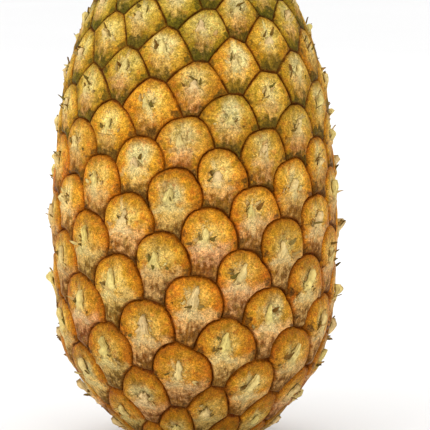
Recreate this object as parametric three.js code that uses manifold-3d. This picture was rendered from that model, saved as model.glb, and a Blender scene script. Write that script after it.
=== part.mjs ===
// A ripe pineapple with its crown, standing upright on its trimmed base.
// Millimetres, +Z up. The origin is the middle of the cut stem's face, which is level with the lowest bracts.
//
// The fruit is one solid. Its skin is a net of six-sided eyes: each eye is a dome with a rounded upper rim,
// and a dry pointed bract that rises from its lower edge to a tip standing off the middle. The eyes sit on 8,
// 13 and 21 spirals, so eye i touches eyes i - 8, i + 8, i - 13, i + 13, i - 21 and i + 21, and their shared
// corners make one closed surface. The crown is one solid too: channelled, pointed leaves that grow from a
// short stem by the same spiral rule. The cut stem stands in a plain hole in the base, and the crown in one
// in the top.
import * as THREE from "three";
import { mergeVertices } from "three/addons/utils/BufferGeometryUtils.js";
import Module from "manifold-3d";

const wasm = await Module();
wasm.setup();

// ---- Driving dimensions, in mm and degrees ----

// Outline over the tops of the eyes, as [radius, height], from under the base to the middle of the top.
const BODY_OUTLINE = [
  [6, 1.5], [13, 0.2], [20.5, -0.4], [28.5, 6], [42.7, 21.5], [55, 42.5], [58.7, 70.5], [59.6, 98.5],
  [57.4, 126.5], [54.3, 152.5], [47.4, 174.5], [39.4, 191.5], [28, 202.5], [17, 207.5], [6, 209],
];

// The spiral of the eyes. The front eye faces -Y, a little to the left.
const FIRST_EYE = -99;
const LAST_EYE = 101;
const FRONT_EYE_ARC = 137.8; // along the outline, from its start
const FRONT_EYE_ANGLE = -10.2;
const DIVERGENCE = 137.388;
const TWIST = -1.66; // extra turn, at TWIST_EYES eyes above or below the front eye
const TWIST_EYES = 70;
const PITCH = 1.084; // rise along the outline from one eye to the next
const PITCH_SWELL = 0.54; // how much taller the eyes grow towards the base
const SWELL_START = 154; // along the outline
const SWELL_LENGTH = 121;
const TAPER_RADIUS = 47.6; // the eyes shrink where the body is slimmer than this
const TAPER_POWER = 0.83;
const SPIRALS = { shallow: 8, steep: 13, upright: 21 };

// The relief of one eye. Heights are shares of its width. A ring goes round its middle at shares of the way
// out to its rim: at its foot, and at its top.
const GROOVE_DEPTH = 0.14;
const RIM_BOW = 0.14; // how far the upper rim bows out, over its distance from the middle
const DOME_EDGE = { foot: 0.76, top: 0.87 }; // where the dome meets the groove
const DOME_EDGE_DROP = 0.035;
const BRACT_EDGE = { foot: 0.38, top: 0.38 };
const BRACT_RISE = 0.1;
const BRACT_REACH = 0.13; // how far above the eye's middle the bract's tip stands
const LOWEST_FULL_EYE = -83;
const HIGHEST_FULL_EYE = 83;
const SMALL_DOME_EDGE = { foot: 0.55, top: 0.6 }; // of the small eyes beyond these two, which have one ring

// The stem stub and the crown's stem.
const STEM_RADIUS = 13;
const STEM_HEIGHT = 9;
const STEM_BEVEL = 0.8;
const CROWN_BASE_HEIGHT = 201.5;
const CROWN_STEM_BASE_RADIUS = 12;
const CROWN_STEM_TOP_RADIUS = 4;
const CROWN_STEM_HEIGHT = 52;
const GAP = 0.3;
const SIDES = 24; // of what is turned

// The crown's leaves. Leaf 0 is the lowest, and the last is the innermost. Leans are off the vertical.
const LEAVES = 50;
const LEAF_SEED = 11;
const GOLDEN_ANGLE = 137.508;
const LOWEST_LEAF = 7.6; // above the foot of the crown's stem
const HIGHEST_LEAF = 5; // below the top of the crown's stem
const LOWEST_LEAN = 84;
const INNERMOST_LEAN = 3;
const LOWEST_CURL = 8; // how much further the tip leans than the root
const FULL_CURL = 34;
const INNERMOST_CURL = 10;
const SHORTEST_LEAF = 16;
const LONGEST_LEAF = 128;
const LOWEST_WIDTH = 17;
const FULL_WIDTH = 24;
const INNERMOST_SHARE = 0.6; // size of the innermost leaf over that of a full one
const LEAF_ROOT_SHARE = 0.55; // how far out in the crown's stem the leaves start
const LEAF_ROOT_WIDTH = 0.6; // over the leaf's full width, which it reaches at FULL_WIDTH_AT of its length
const FULL_WIDTH_AT = 0.3;
const LEAF_STEPS = 6;
const LEAF_CHANNEL = 0.2; // depth of the channel over the leaf's width
const LEAF_KEEL = 1.8; // thickness in the middle of the leaf's foot
const LEAF_EDGE = 0.7; // thickness at the margins and the tip
const LEAF_TIP_WIDTH = 1;

const rad = THREE.MathUtils.degToRad;
const { lerp, smoothstep } = THREE.MathUtils;

// ---- The body's surface ----

const outline = new THREE.SplineCurve(BODY_OUTLINE.map(([r, z]) => new THREE.Vector2(r, z)));
outline.arcLengthDivisions = 1200;
const OUTLINE_LENGTH = outline.getLength();
const FRUIT_TOP = BODY_OUTLINE.at(-1)[1];

// A point on the body: angle round the axis from -Y towards +X, distance along the outline, height above it.
function onBody(angle, arc, lift) {
  const share = THREE.MathUtils.clamp(arc / OUTLINE_LENGTH, 0, 1);
  const at = outline.getPointAt(share);
  const along = outline.getTangentAt(share);
  const radius = at.x + along.y * lift;
  return new THREE.Vector3(
    radius * Math.sin(rad(angle)),
    -radius * Math.cos(rad(angle)),
    Math.max(0, at.y - along.x * lift),
  );
}

function radiusAt(arc) {
  return outline.getPointAt(THREE.MathUtils.clamp(arc / OUTLINE_LENGTH, 0, 1)).x;
}

function pitchAt(arc) {
  const swell = 1 + PITCH_SWELL * Math.max(0, (SWELL_START - arc) / SWELL_LENGTH);
  const taper = Math.min(1, radiusAt(arc) / TAPER_RADIUS) ** TAPER_POWER;
  return PITCH * swell * taper;
}

// ---- The net of eyes ----

const eyeArc = new Map([[0, FRONT_EYE_ARC]]);
for (let i = 0; i <= LAST_EYE + SPIRALS.upright; i++) {
  eyeArc.set(i + 1, eyeArc.get(i) + pitchAt(eyeArc.get(i)));
}
for (let i = 0; i >= FIRST_EYE - SPIRALS.upright; i--) {
  eyeArc.set(i - 1, eyeArc.get(i) - pitchAt(eyeArc.get(i)));
}

function eyeCentre(i) {
  const angle = FRONT_EYE_ANGLE + DIVERGENCE * i + TWIST * (i / TWIST_EYES) ** 2;
  return { angle, arc: eyeArc.get(i) };
}

function eyeWidth(i) {
  const arc = eyeArc.get(i);
  return Math.sqrt(2 * Math.PI * radiusAt(arc) * pitchAt(arc));
}

// Place b, with its angle written within half a turn of place a.
function near(a, b) {
  const turn = THREE.MathUtils.euclideanModulo(b.angle - a.angle + 180, 360) - 180;
  return { angle: a.angle + turn, arc: b.arc };
}

function between(a, b, share) {
  const c = near(a, b);
  return { angle: lerp(a.angle, c.angle, share), arc: lerp(a.arc, c.arc, share) };
}

function middleOf(i, j, k) {
  const a = eyeCentre(i);
  return between(a, between(eyeCentre(j), eyeCentre(k), 0.5), 2 / 3);
}

// The corners above an eye: on its right, and on its left.
function upperRight(i) {
  return middleOf(i, i + SPIRALS.shallow, i + SPIRALS.upright);
}

function upperLeft(i) {
  return middleOf(i, i + SPIRALS.steep, i + SPIRALS.upright);
}

// The middle of a rim between two corners, bowed away from the eye below it.
function rimMiddle(i, a, b) {
  return between(eyeCentre(i), between(a, b, 0.5), 1 + RIM_BOW);
}

// The twelve places round an eye, anticlockwise from its upper right corner. Neighbours share their names.
function eyeRim(i) {
  const { shallow, steep, upright } = SPIRALS;
  const rightOf = (j) => ["right" + j, rimMiddle(j, upperLeft(j - steep), upperRight(j))];
  const topOf = (j) => ["top" + j, rimMiddle(j, upperRight(j), upperLeft(j))];
  const leftOf = (j) => ["left" + j, rimMiddle(j, upperLeft(j), upperRight(j - shallow))];
  const cornerR = (j) => ["cornerR" + j, upperRight(j)];
  const cornerL = (j) => ["cornerL" + j, upperLeft(j)];
  return [
    cornerR(i), topOf(i), cornerL(i), leftOf(i),
    cornerR(i - shallow), rightOf(i - shallow), cornerL(i - upright), topOf(i - upright),
    cornerR(i - upright), leftOf(i - steep), cornerL(i - steep), rightOf(i),
  ];
}

// Triangles between an outer ring and an inner ring with as many points, or half as many.
function joinRings(outer, inner, addTriangle) {
  const n = outer.length;
  const step = n / inner.length;
  for (let i = 0; i < inner.length; i++) {
    const next = (i + 1) % inner.length;
    if (step === 1) {
      addTriangle(outer[i], outer[next], inner[next]);
      addTriangle(outer[i], inner[next], inner[i]);
    } else {
      const [a, b, c] = [outer[2 * i], outer[2 * i + 1], outer[(2 * i + 2) % n]];
      addTriangle(a, b, inner[i]);
      addTriangle(b, inner[next], inner[i]);
      addTriangle(b, c, inner[next]);
    }
  }
}

function fruitGeometry() {
  const positions = [];
  const triangles = [];
  const named = new Map();
  const addPoint = (p) => positions.push(p.x, p.y, p.z) / 3 - 1;
  const addTriangle = (a, b, c) => triangles.push(a, b, c);

  for (let i = FIRST_EYE; i <= LAST_EYE; i++) {
    const centre = eyeCentre(i);
    const width = eyeWidth(i);
    const rim = eyeRim(i).map(([name, place]) => {
      if (!named.has(name)) {
        named.set(name, addPoint(onBody(place.angle, place.arc, -GROOVE_DEPTH * width)));
      }
      return { index: named.get(name), place: near(centre, place) };
    });
    const ring = (places, share, lift) =>
      places.map(({ place }) => {
        const up = smoothstep((place.arc - centre.arc) / width, -0.5, 0.5);
        const at = between(centre, place, lerp(share.foot, share.top, up));
        return addPoint(onBody(at.angle, at.arc, lift * width));
      });
    const corners = rim.filter((_, j) => j % 2 === 0);
    const rings = [rim.map((r) => r.index)];
    if (i >= LOWEST_FULL_EYE && i <= HIGHEST_FULL_EYE) {
      rings.push(ring(rim, DOME_EDGE, -DOME_EDGE_DROP), ring(corners, BRACT_EDGE, 0));
    } else {
      rings.push(ring(corners, SMALL_DOME_EDGE, -DOME_EDGE_DROP));
    }
    for (let j = 1; j < rings.length; j++) joinRings(rings[j - 1], rings[j], addTriangle);
    const tip = addPoint(onBody(centre.angle, centre.arc + BRACT_REACH * width, BRACT_RISE * width));
    const inner = rings.at(-1);
    inner.forEach((a, j) => addTriangle(a, inner[(j + 1) % inner.length], tip));
  }
  closeEnds(positions, triangles, addPoint);
  return indexedGeometry(positions, triangles);
}

// The open zigzag edges under the base and under the crown, each closed with a fan to a point on the axis.
function closeEnds(positions, triangles, addPoint) {
  const edges = new Map();
  for (let t = 0; t < triangles.length; t += 3) {
    for (let e = 0; e < 3; e++) {
      const [a, b] = [triangles[t + e], triangles[t + ((e + 1) % 3)]];
      if (!edges.delete(b + " " + a)) edges.set(a + " " + b, [a, b]);
    }
  }
  const top = addPoint(onBody(0, OUTLINE_LENGTH, 0).setX(0).setY(0));
  const bottom = addPoint(onBody(0, 0, 0).setX(0).setY(0));
  for (const [a, b] of edges.values()) {
    triangles.push(b, a, positions[3 * a + 2] > FRUIT_TOP / 2 ? top : bottom);
  }
}

function indexedGeometry(positions, triangles) {
  return new THREE.BufferGeometry()
    .setAttribute("position", new THREE.Float32BufferAttribute(positions, 3))
    .setIndex(triangles);
}

// ---- Solids ----

function solidOf(geometry) {
  const plain = geometry.clone();
  plain.deleteAttribute("normal");
  plain.deleteAttribute("uv");
  const merged = mergeVertices(plain, 1e-4);
  return new wasm.Manifold(
    new wasm.Mesh({
      numProp: 3,
      vertProperties: merged.attributes.position.array,
      triVerts: new Uint32Array(merged.index.array),
    }),
  );
}

function geometryOf(solid) {
  const mesh = solid.getMesh();
  return new THREE.BufferGeometry()
    .setAttribute("position", new THREE.Float32BufferAttribute(mesh.vertProperties, 3))
    .setIndex(new THREE.BufferAttribute(mesh.triVerts, 1));
}

// A round solid about the Z axis, from [radius, height] points that start and end on the axis.
function turned(points) {
  const lathe = new THREE.LatheGeometry(points.map(([r, z]) => new THREE.Vector2(r, z)), SIDES);
  return lathe.rotateX(Math.PI / 2);
}

function cylinder(radius, bottom, top) {
  return turned([[0, bottom], [radius, bottom], [radius, top], [0, top]]);
}

function makeStem() {
  return turned([
    [0, 0],
    [STEM_RADIUS - STEM_BEVEL, 0],
    [STEM_RADIUS, STEM_BEVEL],
    [STEM_RADIUS, STEM_HEIGHT],
    [0, STEM_HEIGHT],
  ]);
}

function makeFruit() {
  const clear = 10; // how far the two holes' cutters stand out of the fruit
  const stemHole = cylinder(STEM_RADIUS + GAP, -clear, STEM_HEIGHT + GAP);
  const crownHole = cylinder(CROWN_STEM_BASE_RADIUS + GAP, CROWN_BASE_HEIGHT - GAP, FRUIT_TOP + clear);
  return geometryOf(solidOf(fruitGeometry()).subtract(solidOf(stemHole)).subtract(solidOf(crownHole)));
}

// ---- The crown ----

// A small generator with a fixed seed, so that every build draws the same leaves.
function seeded(seed) {
  let state = seed;
  return () => {
    state = (state * 16807) % 2147483647;
    return state / 2147483647;
  };
}

// What leaf i is like: short and spreading at the foot, then long and arching, and upright in the middle.
function leafShape(i, random) {
  const rise = i / (LEAVES - 1);
  const spread = smoothstep(rise, 0, 0.3);
  const inner = smoothstep(rise, 0.6, 1);
  const grown = smoothstep(rise, -0.12, 0.45) * lerp(1, INNERMOST_SHARE, inner);
  const vary = (amount) => 1 + amount * (2 * random() - 1);
  return {
    angle: GOLDEN_ANGLE * i + 5 * (2 * random() - 1),
    foot: CROWN_BASE_HEIGHT + lerp(LOWEST_LEAF, CROWN_STEM_HEIGHT - HIGHEST_LEAF, rise ** 1.3),
    lean: lerp(LOWEST_LEAN, INNERMOST_LEAN, rise ** 0.62) * vary(0.05),
    curl: lerp(lerp(LOWEST_CURL, FULL_CURL, spread), INNERMOST_CURL, inner) * vary(0.4),
    length: lerp(SHORTEST_LEAF, LONGEST_LEAF, grown) * vary(0.07),
    width: lerp(LOWEST_WIDTH, FULL_WIDTH, spread) * lerp(1, INNERMOST_SHARE, inner) * vary(0.06),
  };
}

function crownStemRadius(height) {
  const rise = (height - CROWN_BASE_HEIGHT - LOWEST_LEAF) / (CROWN_STEM_HEIGHT - LOWEST_LEAF);
  return lerp(CROWN_STEM_BASE_RADIUS, CROWN_STEM_TOP_RADIUS, rise);
}

// Half of the leaf's width, at a share of its length.
function halfWidth(leaf, share) {
  const sheath = lerp(LEAF_ROOT_WIDTH, 1, smoothstep(share, 0, FULL_WIDTH_AT));
  return 0.5 * Math.max(LEAF_TIP_WIDTH, leaf.width * sheath * (1 - share ** 1.5));
}

// One leaf as a closed tube of six-point sections, from inside the crown's stem to the tip.
function leafSolid(leaf) {
  const positions = [];
  const triangles = [];
  const reach = new THREE.Vector2(LEAF_ROOT_SHARE * crownStemRadius(leaf.foot), leaf.foot);
  const step = leaf.length / LEAF_STEPS;
  const outward = new THREE.Vector3(Math.sin(rad(leaf.angle)), -Math.cos(rad(leaf.angle)), 0);
  const side = new THREE.Vector3(-outward.y, outward.x, 0);
  for (let i = 0; i <= LEAF_STEPS; i++) {
    const share = i / LEAF_STEPS;
    const lean = rad(leaf.lean + leaf.curl * share);
    const half = halfWidth(leaf, share);
    const margin = 2 * half * LEAF_CHANNEL;
    const keel = lerp(LEAF_KEEL, LEAF_EDGE, share);
    const section = [
      [-half, margin], [0, 0], [half, margin],
      [half, margin - LEAF_EDGE], [0, -keel], [-half, margin - LEAF_EDGE],
    ];
    const upper = outward.clone().multiplyScalar(-Math.cos(lean)).setZ(Math.sin(lean));
    for (const [across, up] of section) {
      const point = outward.clone().multiplyScalar(reach.x).setZ(reach.y);
      point.addScaledVector(side, across).addScaledVector(upper, up);
      positions.push(point.x, point.y, point.z);
    }
    reach.x += step * Math.sin(lean);
    reach.y += step * Math.cos(lean);
  }
  const around = 6;
  for (let i = 0; i < LEAF_STEPS; i++) {
    for (let j = 0; j < around; j++) {
      const [a, b] = [i * around + j, i * around + ((j + 1) % around)];
      triangles.push(a, a + around, b + around, a, b + around, b);
    }
  }
  const last = LEAF_STEPS * around;
  for (const [a, b, c] of [[0, 1, 5], [1, 4, 5], [1, 2, 4], [2, 3, 4]]) {
    triangles.push(a, b, c, last + a, last + c, last + b);
  }
  return solidOf(indexedGeometry(positions, triangles));
}

function makeCrown() {
  const random = seeded(LEAF_SEED);
  const stem = turned([
    [0, CROWN_BASE_HEIGHT],
    [CROWN_STEM_BASE_RADIUS, CROWN_BASE_HEIGHT],
    [CROWN_STEM_BASE_RADIUS, CROWN_BASE_HEIGHT + LOWEST_LEAF],
    [CROWN_STEM_TOP_RADIUS, CROWN_BASE_HEIGHT + CROWN_STEM_HEIGHT],
    [0, CROWN_BASE_HEIGHT + CROWN_STEM_HEIGHT],
  ]);
  let crown = solidOf(stem);
  for (let i = 0; i < LEAVES; i++) crown = crown.add(leafSolid(leafShape(i, random)));
  return geometryOf(crown);
}

// ---- The scene graph ----

function named(name, geometry, color, roughness) {
  const mesh = new THREE.Mesh(geometry, new THREE.MeshStandardMaterial({ color, roughness, metalness: 0 }));
  mesh.name = name;
  return mesh;
}

const pineapple = new THREE.Group();
pineapple.add(named("fruit", makeFruit(), 0xd79a35, 0.6));
pineapple.add(named("crown", makeCrown(), 0x6f8a52, 0.55));
pineapple.add(named("stem", makeStem(), 0xc9b184, 0.85));

export default pineapple;
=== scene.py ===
"""A ripe pineapple with its crown, standing upright on its trimmed base.

Metres, +Z up, -Y towards the camera. Lengths are named in millimetres where they say so.
"""
import math
import random

import bpy
import numpy as np
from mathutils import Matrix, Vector


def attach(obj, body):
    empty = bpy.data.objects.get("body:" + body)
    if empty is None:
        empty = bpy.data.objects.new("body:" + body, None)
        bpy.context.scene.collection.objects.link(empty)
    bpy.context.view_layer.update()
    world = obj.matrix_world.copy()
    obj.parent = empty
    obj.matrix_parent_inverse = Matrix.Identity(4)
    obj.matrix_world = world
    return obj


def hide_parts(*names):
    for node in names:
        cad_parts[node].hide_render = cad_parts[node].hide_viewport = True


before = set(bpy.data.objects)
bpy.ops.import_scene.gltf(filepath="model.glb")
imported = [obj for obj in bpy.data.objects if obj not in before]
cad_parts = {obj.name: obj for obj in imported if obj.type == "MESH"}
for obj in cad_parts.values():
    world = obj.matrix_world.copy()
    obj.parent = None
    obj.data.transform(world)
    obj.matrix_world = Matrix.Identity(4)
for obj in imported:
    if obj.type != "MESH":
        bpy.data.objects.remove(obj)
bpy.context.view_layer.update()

MM = 0.001

# ---- The body, as in the solids. Lengths are millimetres and angles are degrees ----

# The outline, as (radius, height).
BODY_OUTLINE = [
    (6, 1.5), (13, 0.2), (20.5, -0.4), (28.5, 6), (42.7, 21.5), (55, 42.5), (58.7, 70.5), (59.6, 98.5),
    (57.4, 126.5), (54.3, 152.5), (47.4, 174.5), (39.4, 191.5), (28, 202.5), (17, 207.5), (6, 209),
]
OUTLINE_STEPS = 100
FRUIT_TOP = BODY_OUTLINE[-1][1]

# Each eye stands a step further round and further up than the one before it. Eye 0 is at the front. The
# solids' eyes end at 101, and the small ones after it lie close together under the crown.
FIRST_EYE = -99
LAST_EYE = 118
FRONT_EYE_ARC = 137.8
FRONT_EYE_ANGLE = -10.2
DIVERGENCE = 137.388
TWIST = -1.66
TWIST_EYES = 70

# The step up along the outline. It grows below SWELL_START, and shrinks where the body tapers.
PITCH = 1.084
PITCH_SWELL = 0.54
SWELL_START = 154
SWELL_LENGTH = 121
TAPER_RADIUS = 47.6
TAPER_POWER = 0.83

# How much further on the next eye is, along each of the three spirals through an eye.
SHALLOW, STEEP, UPRIGHT = 8, 13, 21

# ---- The rims of the eyes. u and v run from -1 to 1 across an eye and up it ----

# How far the corner over an eye lies towards the eye beside it and towards the one above it. The right
# corner sits lower round the middle of the fruit, where the eyes are domes and not diamonds.
CORNER_REACH = {
    "right": {"diamond": (0.31, 0.34), "dome": (0.56, 0.13)},
    "left": {"diamond": (0.13, 0.435), "dome": (0.19, 0.41)},
}
CORNER_BESIDE = {"right": SHALLOW, "left": STEEP}
CORNER_JITTER = 0.065

# The shares of the way up between which the corners and the rims turn into a dome's, and back again.
CORNER_ZONE = (0.25, 0.4, 0.5, 0.65)
RIM_ZONE = (0.18, 0.26, 0.55, 0.7)

# The corners at the ends of the edges over an eye, and the edges round it. A number is how much further on
# the corner's or the edge's own eye is.
EDGE_ENDS = {
    "above": (("right", 0), ("left", 0)),
    "upper left": (("left", 0), ("right", -SHALLOW)),
    "upper right": (("left", -STEEP), ("right", 0)),
}
RIM_EDGES = [
    ("above", 0, "forwards"), ("upper left", 0, "forwards"), ("upper right", -SHALLOW, "backwards"),
    ("above", -UPRIGHT, "backwards"), ("upper left", -STEEP, "backwards"), ("upper right", 0, "forwards"),
]
EDGE_STEPS = 6
RIM_JITTER = 0.06

# The outline of a dome, and how much a rim follows it on a diamond and on a dome.
DOME_MIDDLE = (0.17, 0.35)
DOME_HALF = (0.96, 1.0)
DOME_POWER = 2.3
DOME_SHARE = (0.22, 0.95)

# ---- The relief of one eye. Heights are shares of its width ----

RINGS = [1, 0.975, 0.94, 0.9, 0.85, 0.78, 0.69, 0.58, 0.46, 0.34, 0.22, 0.1]
LOWER_GROOVE_DEPTH = 0.11
UPPER_GROOVE_DEPTH = 0.065
GROOVE_UNEVEN = 0.35
FOOT_POWER = 16
TOP_POWER = 24
SWELL = 0.02
LEAN = 0.025
WAVE_HEIGHT = 0.009
CUP_MIDDLE = (0, 0.42)
CUP_SIZE = (0.3, 0.24)
CUP_DEPTH = 0.035
PIT_U = (-0.4, 0.05)
PIT_V = (0.0, 0.35)
PIT_SIZE = (0.09, 0.12)
PIT_DEPTH_IN_CUPS = 1.2
CREASE_WIDTH = 0.12
CREASE_DEPTH = 0.02
LOBES_MIDDLE = 0.15
LOBE_MIDDLE = (0.5, 0.4)
LOBE_SIZE = (0.32, 0.45)
LOBE_HEIGHT = 0.022

# ---- The thin things on an eye ----

# The dry bract. Its free part narrows to the tip: the points on its right edge, as (u, v).
BRACT_FREE_EDGE = [
    (0.66, -0.2), (0.48, -0.08), (0.34, 0.02), (0.23, 0.12), (0.18, 0.27), (0.15, 0.44), (0.11, 0.62),
    (0.03, 0.8),
]
BRACT_MARGIN = 0.95
BRACT_REACH = (0.6, 1.15)
UPPER_BRACT_REACH = 0.7
BRACT_TILT = (-0.1, 0.35)
BRACT_SLIM = (0.5, 1.5)
BRACT_RAGGED = (0.06, 0.05)
BRACT_BOW_ROWS = 5
BRACT_THICKNESS = 0.35
BRACT_OFF_SKIN = 0.008
BRACT_TIP_OFF_SKIN = 0.02
BRACT_MARGIN_DROP = 0.03
BRACT_FLAP = 0.03
BRACT_ARCH = 0.03
BRACT_RISE = 0.105
BRACT_WAVE = 0.008

# The dried remains of the flower round the bract's tip, and the frayed strips along the bract's margin.
REMNANTS = 2
REMNANT_U = (-0.35, 0.35)
REMNANT_V = (-0.05, 0.35)
REMNANT_LENGTH = (0.12, 0.42)
REMNANT_RISE = (0.06, 0.19)
STRIPS = 2
STRIP_TURN = (0.1, 1.2)
STRIP_LENGTH = (0.1, 0.3)
STRIP_RISE = (0.02, 0.14)
SLIVER_ROWS, SLIVER_COLUMNS = 6, 3
SLIVER_HALF = (0.04, 0.1)
SLIVER_BEND = 0.5
SLIVER_THICKNESS = 0.3
SLIVER_SUNK = 0.02
SLIVER_ARCH = 0.02
FLOOR_GAP = 0.01

EYE_SEED = 5
BRACT_SEED = 21
REMNANT_SEED = 34


def lerp(a, b, share):
    return a + (b - a) * share


def smoothstep(value, low, high):
    """0 below low and 1 above high, or the other way round where low is the greater."""
    share = np.clip((value - low) / (high - low), 0, 1)
    return share * share * (3 - 2 * share)


def sample_outline():
    """Fine points along a smooth curve through the outline's points, and the length up to each."""
    points = np.array(BODY_OUTLINE, float)
    ends = np.vstack([points[:1], points, points[-1:]])
    t = np.linspace(0, 1, OUTLINE_STEPS, endpoint=False)[:, None]
    parts = []
    for before, a, b, after in zip(ends, ends[1:], ends[2:], ends[3:]):
        start = (b - before) / 2
        end = (after - a) / 2
        cubic = 2 * a - 2 * b + start + end
        square = -3 * a + 3 * b - 2 * start - end
        parts.append(cubic * t**3 + square * t**2 + start * t + a)
    fine = np.vstack([*parts, points[-1:]])
    lengths = np.concatenate([[0], np.cumsum(np.hypot(*np.diff(fine, axis=0).T))])
    return fine, lengths


OUTLINE, OUTLINE_LENGTHS = sample_outline()
OUTLINE_SLOPES = np.gradient(OUTLINE, OUTLINE_LENGTHS, axis=0)


def along_outline(values, arc):
    return np.interp(arc, OUTLINE_LENGTHS, values)


def radius_at(arc):
    return along_outline(OUTLINE[:, 0], arc)


def on_body(places, lift):
    """The points at the places, lifted off the body.

    A place is (angle, arc): degrees from -Y towards +X, and a length along the outline.
    """
    angle, arc = places[..., 0], places[..., 1]
    radius = radius_at(arc) + along_outline(OUTLINE_SLOPES[:, 1], arc) * lift
    height = along_outline(OUTLINE[:, 1], arc) - along_outline(OUTLINE_SLOPES[:, 0], arc) * lift
    turn = np.radians(angle)
    return np.stack([radius * np.sin(turn), -radius * np.cos(turn), np.maximum(height, 0)], -1)


def pitch_at(arc):
    swell = 1 + PITCH_SWELL * max(0, (SWELL_START - arc) / SWELL_LENGTH)
    return PITCH * swell * min(1, radius_at(arc) / TAPER_RADIUS) ** TAPER_POWER


def eye_arcs():
    """How far along the outline each eye is, with the neighbours of the last ones."""
    arcs = {0: FRONT_EYE_ARC}
    for i in range(0, LAST_EYE + UPRIGHT + 1):
        arcs[i + 1] = arcs[i] + pitch_at(arcs[i])
    for i in range(0, FIRST_EYE - UPRIGHT - 1, -1):
        arcs[i - 1] = arcs[i] - pitch_at(arcs[i])
    return arcs


EYE_ARC = eye_arcs()


def share_up(i):
    return EYE_ARC[i] / OUTLINE_LENGTHS[-1]


def eye_centre(i):
    """The place of eye i."""
    return np.array([FRONT_EYE_ANGLE + DIVERGENCE * i + TWIST * (i / TWIST_EYES) ** 2, EYE_ARC[i]])


def eye_width(i):
    """The side of a square as large as eye i."""
    return math.sqrt(2 * math.pi * radius_at(EYE_ARC[i]) * pitch_at(EYE_ARC[i]))


def near(a, b):
    """Places b, with their angles written within half a turn of place a."""
    b = np.array(b, float)
    b[..., 0] = a[0] + (b[..., 0] - a[0] + 180) % 360 - 180
    return b


def jittered(place, i, share, draw):
    """The place moved by up to that share of eye i's width."""
    shift = share * eye_width(i) * np.array([draw.uniform(-1, 1), draw.uniform(-1, 1)])
    return place + shift / (math.radians(1) * radius_at(place[1]), 1)


def domed(i, zone):
    """1 where eye i is a dome and 0 where it is a diamond."""
    starts, full, fades, ends = zone
    return smoothstep(share_up(i), starts, full) * smoothstep(share_up(i), ends, fades)


def corner(side, i):
    """The corner above eye i, on its right or its left, a little off the rule."""
    diamond, dome = (np.array(CORNER_REACH[side][kind]) for kind in ("diamond", "dome"))
    reach = lerp(diamond, dome, domed(i, CORNER_ZONE))
    middle = eye_centre(i)
    place = middle
    for share, neighbour in zip(reach, (CORNER_BESIDE[side], UPRIGHT)):
        place = place + share * (near(middle, eye_centre(i + neighbour)) - middle)
    draw = random.Random(1000 * i + (side == "left"))
    return jittered(place, i, CORNER_JITTER, draw)


def dome_reach(turn):
    """How far the dome's outline is from its middle in that direction, as (u, v) are measured."""
    across = np.abs(np.cos(turn) / DOME_HALF[0]) ** DOME_POWER
    up = np.abs(np.sin(turn) / DOME_HALF[1]) ** DOME_POWER
    return (across + up) ** (-1 / DOME_POWER)


def rim_edge(kind, i):
    """Names and places of the points on one edge of eye i."""
    start, end = ((side, i + further) for side, further in EDGE_ENDS[kind])
    ends = [eye_uv(i, near(eye_centre(i), corner(*name))) - DOME_MIDDLE for name in (start, end)]
    turns = np.unwrap([math.atan2(v, u) for u, v in ends])
    stretches = [math.hypot(*place) / dome_reach(turn) for place, turn in zip(ends, turns)]
    t = np.arange(EDGE_STEPS + 1) / EDGE_STEPS
    bulge = RIM_JITTER * random.Random(kind + str(i)).uniform(-1, 1)
    stretch = lerp(*stretches, t) + bulge * np.sin(math.pi * t)
    turn = lerp(*turns, t)
    straight = lerp(*ends, t[:, None])
    rounded = (stretch * dome_reach(turn))[:, None] * np.stack([np.cos(turn), np.sin(turn)], -1)
    uv = lerp(straight, rounded, lerp(*DOME_SHARE, domed(i, RIM_ZONE))) + DOME_MIDDLE
    between = [(kind, i, step) for step in range(1, EDGE_STEPS)]
    return [start, *between, end], eye_places(i, uv)


def eye_rim(i):
    """Names and places of the points round eye i, anticlockwise from its upper right corner."""
    names, places = [], []
    for kind, further, way in RIM_EDGES:
        edge_names, edge_places = rim_edge(kind, i + further)
        if way == "backwards":
            edge_names, edge_places = edge_names[::-1], edge_places[::-1]
        names += edge_names[:-1]
        places.append(near(eye_centre(i), edge_places[:-1]))
    return names, np.vstack(places)


def eye_uv(i, places):
    """Places as shares of half eye i's width, across it and up it."""
    centre = eye_centre(i)
    offset = places - centre
    across = np.radians(offset[..., 0]) * radius_at(centre[1])
    return np.stack([across, offset[..., 1]], -1) * 2 / eye_width(i)


def eye_places(i, uv):
    """The reverse of eye_uv."""
    centre = eye_centre(i)
    offset = uv * eye_width(i) / 2
    turn = np.degrees(offset[..., 0] / radius_at(centre[1]))
    return np.stack([centre[0] + turn, centre[1] + offset[..., 1]], -1)


def mound(u, v, middle, size):
    """1 at the middle, and less the further (u, v) is from it."""
    return np.exp(-(((u - middle[0]) / size[0]) ** 2) - ((v - middle[1]) / size[1]) ** 2)


def relief(uv, ring, eye):
    """Height of the skin over the body. ring is 0 at the middle of the eye and 1 at its rim."""
    u, v = uv[..., 0], uv[..., 1]
    power = lerp(FOOT_POWER, TOP_POWER, smoothstep(v, -0.9, 0.5))
    uneven = 1 + GROOVE_UNEVEN * np.sin(5 * u + 3 * eye["phase"]) * np.sin(4 * v + eye["phase"])
    groove = -eye["groove"] * uneven * ring**power
    swell = eye["swell"] * (1 - ring**2) + eye["lean"] * u * (1 - ring**4)
    lobes = mound(np.abs(u - LOBES_MIDDLE), v, LOBE_MIDDLE, LOBE_SIZE)
    wave = WAVE_HEIGHT * np.sin(7 * u + eye["phase"]) * np.sin(6 * v + 2.3 * eye["phase"])
    cup = mound(u, v, CUP_MIDDLE, CUP_SIZE)
    cup += PIT_DEPTH_IN_CUPS * mound(u, v, eye["pit"], PIT_SIZE)
    crease = np.exp(-((u / CREASE_WIDTH) ** 2)) * smoothstep(v, 0.4, 0.9)
    inside = LOBE_HEIGHT * lobes + wave - CUP_DEPTH * cup - CREASE_DEPTH * crease
    return groove + swell + inside * (1 - ring**4)


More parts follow.
